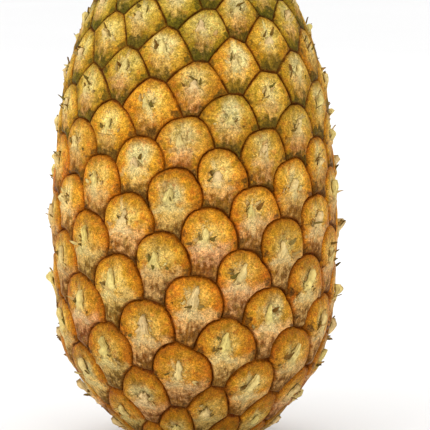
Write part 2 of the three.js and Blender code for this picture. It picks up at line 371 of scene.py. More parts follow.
def drawn_eyes():
    """What differs from eye to eye."""
    draw = random.Random(EYE_SEED)
    eyes = {}
    for i in range(FIRST_EYE, LAST_EYE + 1):
        eye = {
            "swell": draw.uniform(0.0, SWELL),
            "lean": draw.uniform(-LEAN, LEAN),
            "phase": draw.uniform(0, 6.28),
            "tone": draw.random(),
            "green": draw.random(),
            "groove": lerp(LOWER_GROOVE_DEPTH, UPPER_GROOVE_DEPTH, smoothstep(share_up(i), 0.5, 0.75)),
        }
        eye["pit"] = (lerp(*PIT_U, eye["tone"]), lerp(*PIT_V, eye["green"]))
        eye["mark"] = (eye["tone"], eye["green"], share_up(i))
        eyes[i] = eye
    return eyes


EYES = drawn_eyes()

# ---- Meshes ----


def add_object(name, data):
    made = bpy.data.objects.new(name, data)
    bpy.context.scene.collection.objects.link(made)
    return made


def make_mesh(name, points, faces, corner_values=None):
    """A smooth piece from points in millimetres. An attribute has three numbers a face corner."""
    mesh = bpy.data.meshes.new(name)
    mesh.from_pydata((np.array(points) * MM).tolist(), [], faces)
    for attribute, values in (corner_values or {}).items():
        layer = mesh.attributes.new(attribute, "FLOAT_VECTOR", "CORNER")
        layer.data.foreach_set("vector", np.array(values, np.float32).ravel())
    mesh.shade_smooth()
    return add_object(name, mesh)


def grid_faces(rows, columns, first=0, closed=False):
    """Quads between rows of points, which run round when closed."""
    faces = []
    for row in range(rows - 1):
        for column in range(columns if closed else columns - 1):
            a = first + row * columns + column
            b = first + row * columns + (column + 1) % columns
            faces.append((a, b, b + columns, a + columns))
    return faces


class Builder:
    """Collects points and faces with their attributes, for many small things in one mesh."""

    def __init__(self, *attributes):
        self.points = []
        self.faces = []
        self.values = {name: [] for name in attributes}

    def add(self, points, faces, **values):
        """faces index the points. An attribute in values has three numbers a point."""
        first = len(self.points)
        self.points.extend(np.asarray(points).tolist())
        for face in faces:
            self.faces.append([first + a for a in face])
            for name, layer in self.values.items():
                layer.extend(values[name][a] for a in face)

    def piece(self, name):
        return make_mesh(name, self.points, self.faces, self.values)


# ---- The skin ----


def eye_patch(i):
    """Eye i in rings from its rim inwards: names of its points, the points, and (u, v, ring) at each."""
    names, rim = eye_rim(i)
    centre = eye_centre(i)
    shares = np.array(RINGS)
    places = centre + shares[:, None, None] * (rim - centre)
    places = np.vstack([places.reshape(-1, 2), centre])
    ring = np.append(np.repeat(shares, len(rim)), 0)
    uv = eye_uv(i, places)
    lift = relief(uv, ring, EYES[i]) * eye_width(i)
    points = on_body(places, lift)
    names += [(i, k) for k in range(len(rim), len(points))]
    return names, points, np.column_stack([uv, ring])


def eye_faces():
    """Quads between the rings of an eye, and a fan round its middle."""
    around = len(RIM_EDGES) * EDGE_STEPS
    middle = len(RINGS) * around
    last = middle - around
    fan = [(last + k, last + (k + 1) % around, middle) for k in range(around)]
    return grid_faces(len(RINGS), around, closed=True) + fan


def make_skin():
    """All eyes in one mesh, in which neighbours share the points of their rims."""
    points, faces = [], []
    values = {"eye": [], "mark": []}
    index_of = {}
    for i, eye in EYES.items():
        names, found, eye_values = eye_patch(i)
        for name, point in zip(names, found):
            if name not in index_of:
                index_of[name] = len(points)
                points.append(point)
        for face in eye_faces():
            faces.append([index_of[names[a]] for a in face])
            values["eye"].extend(eye_values[a] for a in face)
            values["mark"].extend([eye["mark"]] * len(face))
    close_ends(points, faces, values)
    return make_mesh("fruit_skin", points, faces, values)


def close_ends(points, faces, values):
    """Fans over the open zigzag edges under the base and under the crown."""
    edges = set()
    for face in faces:
        for a, b in zip(face, face[1:] + face[:1]):
            if (b, a) in edges:
                edges.remove((b, a))
            else:
                edges.add((a, b))
    for height, arc in ((FRUIT_TOP, OUTLINE_LENGTHS[-1]), (BODY_OUTLINE[0][1], 0)):
        tip = len(points)
        points.append(np.array([0, 0, height]))
        mark = (0.5, 0.5, arc / OUTLINE_LENGTHS[-1])
        for a, b in sorted(edges):
            if (points[a][2] > FRUIT_TOP / 2) == (arc > 0):
                faces.append([b, a, tip])
                values["eye"].extend([(0, -1, 1)] * 3)
                values["mark"].extend([mark] * 3)


# ---- Thin things: two layers of points in rows, joined round their edge ----


def sheet_faces(rows, columns):
    """Faces of a closed sheet: the outer layer's points come first, then the inner layer's."""
    layer = rows * columns
    outer = grid_faces(rows, columns)
    inner = [[a + layer for a in face[::-1]] for face in outer]
    bottom = list(range(columns))
    right = [row * columns + columns - 1 for row in range(rows)]
    top = [layer - 1 - column for column in range(columns)]
    left = [row * columns for row in reversed(range(rows))]
    edge = bottom + right[1:] + top[1:] + left[1:]
    walls = [(b, a, a + layer, b + layer) for a, b in zip(edge, edge[1:])]
    return outer + inner + walls


def sheet_grid(rows, columns):
    """How far up a sheet its points are, from 0 to 1, and how far across it, from -1 to 1."""
    up = np.linspace(0, 1, rows)[:, None] * np.ones(columns)
    across = np.linspace(-1, 1, columns) * np.ones((rows, 1))
    return up, across


def both_layers(across, up, third):
    """The same three numbers for the points of a sheet's outer and inner layer."""
    return np.column_stack([np.tile(across.ravel(), 2), np.tile(up.ravel(), 2), np.full(2 * up.size, third)])


def layers_on_body(i, uv, lift, thickness):
    """The points of a sheet's outer layer, at that lift over eye i, and of its inner layer under it."""
    places = eye_places(i, uv)
    layers = [on_body(places, lift - drop) for drop in (0, thickness)]
    return np.reshape(layers, (-1, 3))


def ring_at(uv, rim_uv):
    """How far out in its eye each point is: 0 at the middle, and 1 at the rim and beyond it."""
    turns = np.arctan2(rim_uv[:, 1], rim_uv[:, 0])
    order = np.argsort(turns)
    rim_reach = np.hypot(*rim_uv[order].T)
    turn = np.arctan2(uv[..., 1], uv[..., 0])
    reach = np.interp(turn, turns[order], rim_reach, period=2 * math.pi)
    return np.minimum(np.hypot(uv[..., 0], uv[..., 1]) / reach, 1)


def refined(edge):
    """The edge with a point added between each two of its points."""
    edge = np.array(edge)
    knots = np.arange(len(edge))
    fine = np.linspace(0, len(edge) - 1, 2 * len(edge) - 1)
    return np.column_stack([np.interp(fine, knots, edge[:, axis]) for axis in (0, 1)])


def bract_rows(i, rim_uv, draw):
    """The bract's points in (u, v), in rows from its foot in the groove to its tip."""
    foot_from, foot_to = 3 * EDGE_STEPS, 4 * EDGE_STEPS
    foot = rim_uv[foot_from : foot_to + 1] * BRACT_MARGIN
    left = [rim_uv[foot_from - step] * BRACT_MARGIN for step in (0, 1, 2, 4)]
    right = [rim_uv[foot_to + step] * BRACT_MARGIN for step in (0, 2, 4, 5)]
    reach = draw.uniform(*BRACT_REACH) * lerp(1, UPPER_BRACT_REACH, smoothstep(share_up(i), 0.47, 0.62))
    tilt = draw.uniform(*BRACT_TILT)
    slim = draw.uniform(*BRACT_SLIM)
    free_from = BRACT_FREE_EDGE[0][1]
    for u, v in BRACT_FREE_EDGE:
        along = (v - free_from) * reach
        for side, edge in ((-1, left), (1, right)):
            ragged = [draw.uniform(-most, most) for most in BRACT_RAGGED]
            place = (side * u * lerp(1, slim, along) + tilt * along, free_from + along)
            is_tip = (u, v) == BRACT_FREE_EDGE[-1]
            edge.append(np.array(place) if is_tip else np.add(place, ragged))
    left, right = refined(left), refined(right)
    across = np.linspace(0, 1, len(foot))[:, None]
    bow = foot - lerp(foot[0], foot[-1], across)
    rows = []
    for row, (start, end) in enumerate(zip(left, right)):
        bowed = bow * max(0, 1 - row / BRACT_BOW_ROWS)
        rows.append(lerp(start, end, across) + bowed)
    return np.array(rows)


def bract_lift(up, across, eye, draw):
    """Height of the bract over the skin."""
    lift = lerp(BRACT_OFF_SKIN, BRACT_TIP_OFF_SKIN, smoothstep(up, 0.2, 0.4))
    lift -= BRACT_MARGIN_DROP * across**4 * smoothstep(up, 0.75, 0.45)
    left_flap, right_flap = (draw.uniform(-BRACT_FLAP, BRACT_FLAP) for _ in range(2))
    flap = np.where(across < 0, left_flap, right_flap)
    lift += flap * across**2 * np.exp(-(((up - 0.4) / 0.12) ** 2))
    lift += BRACT_ARCH * (1 - across**2) * smoothstep(up, 0.15, 0.6)
    tip = smoothstep(up, 0.55, 0.9) * (1 - 0.4 * smoothstep(up, 0.88, 1)) * (1 - 0.8 * np.abs(across))
    lift += BRACT_RISE * draw.uniform(0.4, 1.4) * tip
    wave = np.sin(9 * across + eye["phase"] + 4 * up) * np.sin(7 * up + 2 * eye["phase"])
    return lift + BRACT_WAVE * wave * smoothstep(up, 0.2, 0.4)


def make_bracts():
    draw = random.Random(BRACT_SEED)
    builder = Builder("eye", "blade", "mark")
    for i, eye in EYES.items():
        rim_uv = eye_uv(i, eye_rim(i)[1])
        uv = bract_rows(i, rim_uv, draw)
        rows, columns = uv.shape[:2]
        up, across = sheet_grid(rows, columns)
        ring = ring_at(uv, rim_uv)
        lift = (relief(uv, ring, eye) + bract_lift(up, across, eye, draw)) * eye_width(i)
        points = layers_on_body(i, uv, lift, BRACT_THICKNESS)
        eye_values = np.tile(np.column_stack([uv.reshape(-1, 2), ring.ravel()]), (2, 1))
        blade = both_layers(across, up, draw.random())
        marks = [eye["mark"]] * len(points)
        builder.add(points, sheet_faces(rows, columns), eye=eye_values, blade=blade, mark=marks)
    return builder.piece("bracts")


def remnant_start(draw):
    """Where a remnant stands in the heart of the eye, and its turn, length and rise."""
    root = np.array([draw.uniform(*REMNANT_U), draw.uniform(*REMNANT_V)])
    return root, draw.gauss(0, 0.5), draw.uniform(*REMNANT_LENGTH), draw.uniform(*REMNANT_RISE)


def strip_start(draw):
    """Where a strip stands on the bract's margin, and its turn, length and rise."""
    side = draw.choice((-1, 1))
    margin = np.array(BRACT_FREE_EDGE)
    along = draw.uniform(0, 1) * (len(margin) - 2)
    root = np.array([np.interp(along, np.arange(len(margin)), margin[:, axis]) for axis in (0, 1)])
    turn = side * draw.uniform(*STRIP_TURN)
    return root * (side, 1), turn, draw.uniform(*STRIP_LENGTH), draw.uniform(*STRIP_RISE)


def add_sliver(builder, i, rim_uv, start, draw):
    """A small ragged sheet from its root outwards."""
    up, across = sheet_grid(SLIVER_ROWS, SLIVER_COLUMNS)
    root, turn, length, rise = start(draw)
    half = draw.uniform(*SLIVER_HALF)
    forward = np.array([math.sin(turn), math.cos(turn)])
    sideways = np.array([forward[1], -forward[0]])
    bend = draw.uniform(-SLIVER_BEND, SLIVER_BEND)
    ragged = np.array([[draw.uniform(0.65, 1.35)] * SLIVER_COLUMNS for _ in range(SLIVER_ROWS)])
    half_here = half * (1 - 0.8 * up**2) * ragged
    uv = root + forward * (up * length)[..., None]
    uv = uv + sideways * (across * half_here + bend * length * up**2)[..., None]
    skin = relief(uv, ring_at(uv, rim_uv), EYES[i])
    lift = skin - SLIVER_SUNK + rise * up**0.7 + SLIVER_ARCH * (1 - across**2)
    points = layers_on_body(i, uv, lift * eye_width(i), SLIVER_THICKNESS)
    blade = both_layers(across, up, EYES[i]["tone"])
    marks = [(draw.random(), draw.random(), float(start is strip_start))] * len(points)
    pressed_flat = np.median(points[:, 2]) < FLOOR_GAP
    if not pressed_flat:
        builder.add(points, sheet_faces(SLIVER_ROWS, SLIVER_COLUMNS), blade=blade, mark=marks)


def make_remnants():
    draw = random.Random(REMNANT_SEED)
    builder = Builder("blade", "mark")
    for i in EYES:
        rim_uv = eye_uv(i, eye_rim(i)[1])
        for start in [remnant_start] * REMNANTS + [strip_start] * STRIPS:
            add_sliver(builder, i, rim_uv, start, draw)
    return builder.piece("flower_remnants")


# ---- The crown, as in the solids, with finer leaves ----

CROWN_BASE_HEIGHT = 201.5
CROWN_STEM_BASE_RADIUS = 12
CROWN_STEM_TOP_RADIUS = 4
CROWN_STEM_HEIGHT = 52
CROWN_STEM_SIDES = 32
LEAVES = 50
LEAF_SEED = 11
GOLDEN_ANGLE = 137.508
LOWEST_LEAF = 7.6
HIGHEST_LEAF_BELOW_TOP = 5
LOWEST_LEAN = 84
INNERMOST_LEAN = 3
LOWEST_CURL = 8
FULL_CURL = 34
INNERMOST_CURL = 10
SHORTEST_LEAF = 16
LONGEST_LEAF = 128
LOWEST_WIDTH = 17
FULL_WIDTH = 24
INNERMOST_SHARE = 0.6
LEAF_ROOT_SHARE = 0.55
LEAF_ROOT_WIDTH = 0.6
FULL_WIDTH_AT = 0.3
LEAF_CHANNEL = 0.2
LEAF_TIP_WIDTH = 1
SOLID_LEAF_PARTS = 6

LEAF_STEPS = 24
LEAF_ACROSS = 8
LEAF_PART_STEPS = 40
LEAF_KEEL = 1.4
LEAF_EDGE = 0.45
LEAF_RIPPLE = 0.5
SPINED_SHARE = 0.9
SPINE_SPACING = 4.5
SPINE_LENGTH = 1.5
SPINE_ROOT = 0.4
SPINE_SUNK = 0.3
SPINE_OUT = 0.55
SPINE_HALF_THICKNESS = 0.25
SPINE_SEED = 55


def seeded(seed):
    """The solids' own generator, so that the leaves are the same."""
    state = seed
    while True:
        state = state * 16807 % 2147483647
        yield state / 2147483647


def leaf_shape(i, draws):
    """Where leaf i stands, and its size and bend."""
    rise = i / (LEAVES - 1)
    spread = smoothstep(rise, 0, 0.3)
    inner = smoothstep(rise, 0.6, 1)
    grown = smoothstep(rise, -0.12, 0.45) * lerp(1, INNERMOST_SHARE, inner)
    highest = CROWN_STEM_HEIGHT - HIGHEST_LEAF_BELOW_TOP

    def vary(amount):
        return 1 + amount * (2 * next(draws) - 1)

    return {
        "angle": math.radians(GOLDEN_ANGLE * i + 5 * (2 * next(draws) - 1)),
        "foot": CROWN_BASE_HEIGHT + lerp(LOWEST_LEAF, highest, rise**1.3),
        "lean": lerp(LOWEST_LEAN, INNERMOST_LEAN, rise**0.62) * vary(0.05),
        "curl": lerp(lerp(LOWEST_CURL, FULL_CURL, spread), INNERMOST_CURL, inner) * vary(0.4),
        "length": lerp(SHORTEST_LEAF, LONGEST_LEAF, grown) * vary(0.07),
        "width": lerp(LOWEST_WIDTH, FULL_WIDTH, spread) * lerp(1, INNERMOST_SHARE, inner) * vary(0.06),
    }


def crown_stem_radius(height):
    rise = (height - CROWN_BASE_HEIGHT - LOWEST_LEAF) / (CROWN_STEM_HEIGHT - LOWEST_LEAF)
    return lerp(CROWN_STEM_BASE_RADIUS, CROWN_STEM_TOP_RADIUS, rise)


def half_width(leaf, share):
    sheath = lerp(LEAF_ROOT_WIDTH, 1, smoothstep(share, 0, FULL_WIDTH_AT))
    return 0.5 * np.maximum(LEAF_TIP_WIDTH, leaf["width"] * sheath * (1 - share**1.5))


class LeafFrame:
    """Where a leaf's middle line runs, and which way it faces."""

    def __init__(self, leaf):
        steps = SOLID_LEAF_PARTS * LEAF_PART_STEPS
        self.share = np.arange(steps + 1) / steps
        # The solids' leaf has straight parts, each at the lean of its lower end.
        curled = np.maximum(self.share - 1 / (2 * SOLID_LEAF_PARTS), 0)
        self.lean = np.radians(leaf["lean"] + leaf["curl"] * curled)
        step = leaf["length"] / steps
        start = LEAF_ROOT_SHARE * crown_stem_radius(leaf["foot"])
        self.out = start + np.concatenate([[0], np.cumsum(step * np.sin(self.lean[:-1]))])
        self.high = leaf["foot"] + np.concatenate([[0], np.cumsum(step * np.cos(self.lean[:-1]))])
        self.outward = np.array([math.sin(leaf["angle"]), -math.cos(leaf["angle"]), 0])
        self.side = np.array([-self.outward[1], self.outward[0], 0])
        self.up = np.array([0, 0, 1])

    def at(self, share, across, lift):
        """Points across the leaf and above it, at shares of its length."""
        lean = np.interp(share, self.share, self.lean)
        out = np.interp(share, self.share, self.out) - np.cos(lean) * lift
        high = np.interp(share, self.share, self.high) + np.sin(lean) * lift
        return out[..., None] * self.outward + across[..., None] * self.side + high[..., None] * self.up


def add_leaf(builder, leaf, draw):
    place = LeafFrame(leaf)
    rows, columns = LEAF_STEPS + 1, LEAF_ACROSS + 1
    share, across = sheet_grid(rows, columns)
    half = half_width(leaf, share)
    channel = 2 * half * LEAF_CHANNEL * np.abs(across) ** 1.4
    phase = draw.uniform(0, 6.28)
    ripple = LEAF_RIPPLE * np.sin(share * 9 + phase) * across**2 * half / (FULL_WIDTH / 2)
    upper = channel + ripple
    thickness = lerp(lerp(LEAF_KEEL, LEAF_EDGE, share), LEAF_EDGE, np.abs(across) ** 1.5)
    layers = [place.at(share, across * half, lift) for lift in (upper - thickness, upper)]
    points = np.reshape(layers, (-1, 3))
    blade = both_layers(across, share, draw.random())
    dryness = draw.random()
    marks = [(under, dryness, 0) for under in (1, 0) for _ in range(share.size)]
    builder.add(points, sheet_faces(rows, columns), blade=blade, mark=marks)
    add_spines(builder, leaf, place, draw)


def add_spines(builder, leaf, place, draw):
    """Small teeth along both margins that point to the tip."""
    count = int(SPINED_SHARE * leaf["length"] / SPINE_SPACING)
    for side in (-1, 1):
        for step in range(1, count):
            share = (step + draw.uniform(0.2, 0.8)) * SPINE_SPACING / leaf["length"]
            length = SPINE_LENGTH * draw.uniform(0.6, 1.1) / leaf["length"]
            shares = np.array([share - length * SPINE_ROOT, share + length * SPINE_ROOT, share + length])
            half = half_width(leaf, shares)
            across = side * (half + np.array([-SPINE_SUNK, -SPINE_SUNK, SPINE_OUT * SPINE_LENGTH]))
            rise = 2 * half * LEAF_CHANNEL - 0.5 * LEAF_EDGE
            over = place.at(shares, across, rise + SPINE_HALF_THICKNESS)
            under = place.at(shares, across, rise - SPINE_HALF_THICKNESS)
            faces = [(0, 1, 2), (4, 3, 2), (1, 4, 2), (3, 0, 2)]
            if side > 0:
                faces = [face[::-1] for face in faces]
            blade = [(side, s, 0.5) for s in (share, share, 1.2, share, share)]
            marks = [(0, 0.5, 0)] * len(blade)
            builder.add([*over, *under[:2]], faces, blade=blade, mark=marks)


def add_crown_stem(builder):
    top = CROWN_BASE_HEIGHT + CROWN_STEM_HEIGHT
    almost_closed = 0.01
    rings = [
        (almost_closed, CROWN_BASE_HEIGHT),
        (CROWN_STEM_BASE_RADIUS, CROWN_BASE_HEIGHT),
        (CROWN_STEM_BASE_RADIUS, CROWN_BASE_HEIGHT + LOWEST_LEAF),
        (CROWN_STEM_TOP_RADIUS, top),
        (almost_closed, top),
    ]
    turn = np.arange(CROWN_STEM_SIDES) * 2 * math.pi / CROWN_STEM_SIDES
    points = [(r * math.sin(a), -r * math.cos(a), height) for r, height in rings for a in turn]
    faces = grid_faces(len(rings), CROWN_STEM_SIDES, closed=True)
    count = len(points)
    builder.add(points, faces, blade=[(0, 0, 0.5)] * count, mark=[(0, 0.5, 0)] * count)


def make_crown():
    builder = Builder("blade", "mark")
    draws = seeded(LEAF_SEED)
    draw = random.Random(SPINE_SEED)
    add_crown_stem(builder)
    for i in range(LEAVES):
        add_leaf(builder, leaf_shape(i, draws), draw)
    return builder.piece("crown_leaves")


# ---- Materials ----


def from_code(code):
    """A colour by its code, #rrggbb, as a node's socket takes it."""
    shares = [int(code[k : k + 2], 16) / 255 for k in (1, 3, 5)]
    return (*(((s + 0.055) / 1.055) ** 2.4 if s > 0.04045 else s / 12.92 for s in shares), 1)


class Look:
    """A material with short ways to add nodes. Values are numbers, colour codes or other nodes' outputs."""

    def __init__(self, name):
        self.material = bpy.data.materials.new(name)
        self.material.use_nodes = True
        self.tree = self.material.node_tree
        self.shader = self.tree.nodes["Principled BSDF"]

    def feed(self, socket, value):
        if isinstance(value, bpy.types.NodeSocket):
            self.tree.links.new(value, socket)
        else:
            socket.default_value = from_code(value) if isinstance(value, str) else value

    def node(self, kind, inputs, **settings):
        made = self.tree.nodes.new("ShaderNode" + kind)
        for key, value in settings.items():
            setattr(made, key, value)
        for key, value in inputs.items():
            self.feed(made.inputs[key], value)
        return made

    def attribute(self, name):
        """The three numbers of one of the mesh's attributes, and the whole as a vector."""
        whole = self.node("Attribute", {}, attribute_name=name).outputs["Vector"]
        return [*self.node("SeparateXYZ", {0: whole}).outputs, whole]

    def place(self):
        return self.node("TexCoord", {}).outputs["Object"]

    def combine(self, x, y, z):
        return self.node("CombineXYZ", {0: x, 1: y, 2: z}).outputs[0]

    def vector(self, operation, *inputs):
        return self.node("VectorMath", dict(enumerate(inputs)), operation=operation).outputs[0]

    def length(self, vector):
        return self.node("VectorMath", {0: vector}, operation="LENGTH").outputs["Value"]

    def math(self, operation, a, b=0.0):
        return self.node("Math", {0: a, 1: b}, operation=operation).outputs[0]

    def plus(self, a, b):
        return self.math("ADD", a, b)

    def minus(self, a, b):
        return self.math("SUBTRACT", a, b)

    def times(self, *values):
        total = values[0]
        for value in values[1:]:
            total = self.math("MULTIPLY", total, value)
        return total

    def greater(self, a, b):
        return self.math("MAXIMUM", a, b)

    def size(self, value):
        return self.math("ABSOLUTE", value)

    def step(self, value, low, high):
        """0 below low and 1 above high, or the other way round where low is the greater."""
        ends = {"Value": value, "From Min": low, "From Max": high}
        return self.node("MapRange", ends, interpolation_type="SMOOTHSTEP").outputs[0]

    def slope(self, value, low, high):
        """0 at low and below it, 1 at high and above it, and straight between."""
        return self.node("MapRange", {"Value": value, "From Min": low, "From Max": high}).outputs[0]

    def ramp(self, value, low, high):
        """From low to high as value goes from 0 to 1."""
        return self.node("MapRange", {"Value": value, "To Min": low, "To Max": high}).outputs[0]

    def noise_node(self, vector, scale, detail, roughness):
        inputs = {"Vector": vector, "Scale": scale, "Detail": detail, "Roughness": roughness}
        return self.node("TexNoise", inputs)

    def noise(self, vector, scale, detail, roughness=0.55):
        return self.noise_node(vector, scale, detail, roughness).outputs[0]

    def noises(self, count, vector, scale, detail=2.0, roughness=0.55):
        """Up to three noises that don't depend on each other, each spread over 0 to 1."""
        found = self.noise_node(vector, scale, detail, roughness).outputs["Color"]
        parts = self.node("SeparateColor", {0: found}).outputs
        return [self.slope(parts[k], 0.28, 0.72) for k in range(count)]

    def stirred(self, value, noise, amount):
        """The value, moved down and up by a noise."""
        return self.plus(value, self.ramp(noise, -amount, amount))

    def distance(self, u, v, middle_u, middle_v, scale_u, scale_v):
        """How far (u, v) is from the middle, each measured at its own scale."""
        across = self.times(self.minus(u, middle_u), scale_u)
        up = self.times(self.minus(v, middle_v), scale_v)
        return self.length(self.combine(across, up, 0))

    def mix(self, share, a, b):
        return self.node("Mix", {0: share, 6: a, 7: b}, data_type="RGBA").outputs[2]

    def over(self, colour, other, *shares):
        """The other colour laid over the first one, by the product of the shares."""
        return self.mix(self.times(*shares), colour, other)

    def lit(self, colour, brightness):
        """The colour times a number."""
        return self.node("VectorMath", {0: colour, 3: brightness}, operation="SCALE").outputs[0]

    def bump(self, height, strength, distance):
        made = self.node("Bump", {"Height": height, "Strength": strength, "Distance": distance})
        self.feed(self.shader.inputs["Normal"], made.outputs[0])

    def finish(self, colour, roughness, **sockets):
        self.feed(self.shader.inputs["Base Color"], colour)
        self.feed(self.shader.inputs["Roughness"], roughness)
        for name, value in sockets.items():
            self.feed(self.shader.inputs[name.replace("_", " ")], value)
        return self.material


def unripe(look, share_up, green):
    """1 where the skin is olive, towards the top, and 0 where it is orange."""
    patches = look.noise(look.place(), 22, 2)
    mixed = look.stirred(look.stirred(share_up, patches, 0.14), green, 0.08)
    return look.step(mixed, 0.5, 0.92)


class Eye:
    """What an eye's colour is made from: the place in the eye, the eye's own numbers, and noises.

    olive is 1 where the skin isn't ripe and low is 1 on the lower eyes. Elsewhere they are 0.
    """

    def __init__(self, look):
        self.look = look
        self.u, self.v, self.ring, self.uv = look.attribute("eye")
        self.tone, self.green, self.share_up, _ = look.attribute("mark")
        place = look.place()
        self.broad, self.broad_hue, self.broad_dark = look.noises(3, place, 120)
        self.patch, self.patch_hue, self.patch_dark = look.noises(3, place, 400)
        self.grain, self.grain_hue = look.noises(2, place, 1150)
        self.fine = look.noises(1, place, 2300, 1.0)[0]
        own_place = look.combine(look.times(self.tone, 30), look.times(self.green, 30), 0)
        self.own, self.own_hue, self.own_dark = look.noises(3, own_place, 1, 0.0)
        streak_place = look.combine(look.times(self.u, 12), look.times(self.v, 2), look.times(self.tone, 70))
        self.streaks, self.streak_hue = look.noises(2, streak_place, 1, 3.0, 0.65)
        self.olive = unripe(look, self.share_up, self.green)
        self.low = look.step(self.share_up, 0.66, 0.42)

    def distance(self, middle_u, middle_v, scale_u=1.0, scale_v=1.0):
        return self.look.distance(self.u, self.v, middle_u, middle_v, scale_u, scale_v)

    def by_height(self, upper, lower):
        """A number that goes from its value on the upper eyes to that on the lower ones."""
        return self.look.ramp(self.low, upper, lower)

    def by_ripeness(self, ripe, olive):
        return self.look.mix(self.olive, ripe, olive)

    def of_two_tones(self, ripe, other_ripe, olive):
        """Ripe eyes lie between two colours, each at a place of its own."""
        return self.by_ripeness(self.look.mix(self.tone, ripe, other_ripe), olive)


def dome_colour(look, eye):
    """Yellow in the middle, golden round it and orange brown outside, with stains. The colours are partly
    the rind's own tones and partly a painted highlight in the middle with painted shade towards the rim.
    """
    far = look.stirred(eye.distance(0.15, 0.38, 1.0, 0.85), eye.broad, 0.22)
    yellow = eye.of_two_tones("#f4d070", "#f2b84c", "#e4ce70")
    yellow = look.over(yellow, "#e4d28c", look.step(eye.own, 0.6, 0.9))
    golden = eye.of_two_tones("#dea22e", "#dc9228", "#ccaa42")
    outer = eye.of_two_tones("#c07a14", "#c86e18", "#a08018")
    # Lighter in the middle and darker out to the rim: partly the rind's own colour, partly a painted
    # highlight and painted shade of the dome's curve.
    colour = look.over(yellow, golden, look.step(far, 0.2, 0.7))
    colour = look.over(colour, outer, look.step(far, 0.6, 1.05))
    # Painted shade along the top of the dome, under the eye above.
    above = look.step(look.stirred(eye.v, eye.broad_hue, 0.2), 0.55, 1.05)
    dome_top_shade = eye.by_ripeness("#be7a0c", "#a08418")
    colour = look.over(colour, dome_top_shade, above, 0.5)
    colour = look.lit(colour, look.ramp(eye.patch, 0.78, 1.18))
    rusty = eye.by_ripeness("#c46018", "#ba7c28")
    colour = look.over(colour, rusty, look.step(eye.patch_hue, 0.38, 0.12), 0.45)
    mossy = eye.by_ripeness("#9c740c", "#7c6e0e")
    colour = look.over(colour, mossy, look.step(eye.patch_hue, 0.58, 0.82), 0.5)
    # A darker streak along the crease up the dome: partly the rind's own olive streak, partly painted shade
    # in the crease.
    crease = look.stirred(eye.distance(0.06, 0.85, 1.0, 0.6), eye.patch_dark, 0.16)
    creased = eye.by_ripeness("#8e620e", "#6e6410")
    return look.over(colour, creased, look.step(crease, 0.25, 0.1), eye.by_height(0.1, 0.35))


def fan_colour(look, eye):
    """The dry part under the heart, with upright streaks: pink tan on some eyes and olive on others."""
    bright = look.stirred(look.ramp(eye.streaks, 0.2, 0.8), eye.patch, 0.35)
    bright = look.stirred(bright, eye.broad_hue, 0.2)
    # Painted shade: the streaks are darker towards the fan's foot.
    bright = look.plus(bright, look.ramp(look.step(eye.v, -0.3, -0.8), 0.16, -0.1))
    dark = look.mix(eye.own_hue, "#88481e", "#70581c")
    pale = look.mix(eye.own_hue, "#f2b274", "#e8c468")
    colour = look.over(dark, pale, look.step(bright, 0.1, 0.8))
    colour = look.lit(colour, look.ramp(eye.own, 0.8, 1.1))
    # Painted shade at the fan's foot, over the arch of the eye below.
    foot = look.step(eye.v, -0.35, -0.85)
    colour = look.lit(colour, look.ramp(foot, eye.by_height(0.94, 1.06), eye.by_height(0.76, 0.9)))
    mossy = look.step(eye.patch_hue, 0.6, 0.9)
    return look.over(colour, "#9c7c38", mossy, 0.5)


def fan_share(look, eye):
    """1 in the fan, which is narrower on the upper eyes."""
    down = look.step(look.stirred(eye.v, eye.broad, 0.25), 0.2, -0.25)
    aside = look.size(look.plus(eye.u, eye.by_height(-0.05, -0.3)))
    aside = look.stirred(aside, eye.patch_dark, 0.2)
    inside = look.step(aside, eye.by_height(0.6, 1.1), eye.by_height(0.15, 0.5))
    return look.times(down, inside, eye.by_height(0.55, 0.9))


def add_arms(look, eye, colour):
    """The pale arms that droop to both sides of the heart."""
    drooping = look.plus(eye.v, look.times(look.size(eye.u), 0.4))
    arms = look.stirred(look.distance(eye.u, drooping, 0.0, -0.08, 1.2, 3.6), eye.patch, 0.4)
    pale = look.mix(eye.own_hue, "#f8d49c", "#eed888")
    share = look.times(look.step(arms, 0.85, 0.4), eye.by_height(0.1, 0.8), look.ramp(eye.own, 0.35, 1.0))
    return look.over(colour, pale, share)


def add_heart(look, eye, colour):
    """The pale star in the middle, with light and dark specks on it."""
    middle_u = look.ramp(eye.olive, 0.03, 0.2)
    middle_v = look.plus(eye.by_height(0.2, 0.15), look.ramp(eye.olive, 0.0, 0.1))
    direction = look.combine(look.minus(eye.u, middle_u), look.minus(eye.v, middle_v), 0)
    own_height = look.combine(0, 0, look.times(eye.tone, 60))
    ray_place = look.vector("ADD", look.vector("NORMALIZE", direction), own_height)
    rays = look.noises(1, ray_place, 2.6, 1.0)[0]
    away = look.plus(eye.distance(middle_u, middle_v, 1.15, 0.5), look.ramp(rays, 0.2, -0.25))
    away = look.stirred(away, eye.grain, 0.06)
    pale = eye.by_ripeness(look.mix(eye.own_hue, "#f0ce92", "#e6d888"), "#e4d28a")
    share = look.times(look.step(away, 0.27, 0.07), look.ramp(eye.own_dark, 0.75, 0.2))
    colour = look.over(colour, pale, share)
    rough = look.step(eye.distance(0.05, 0.2, 1.0, 0.7), 0.6, 0.15)
    colour = look.over(colour, "#f0d88e", look.step(eye.grain_hue, 0.62, 0.8), rough, 0.6)
    return look.over(colour, "#785210", look.step(eye.grain_hue, 0.32, 0.14), rough, 0.6)


def add_pit(look, eye, colour):
    """Painted shade in the hole beside the star, on most eyes."""
    away = eye.distance(look.ramp(eye.tone, *PIT_U), look.ramp(eye.green, *PIT_V), 1.0, 0.75)
    inside = look.step(look.stirred(away, eye.grain, 0.05), 0.11, 0.04)
    dark = look.mix(eye.green, "#684618", "#625a24")
    return look.over(colour, dark, inside, look.step(eye.tone, 0.3, 0.5), 0.6)


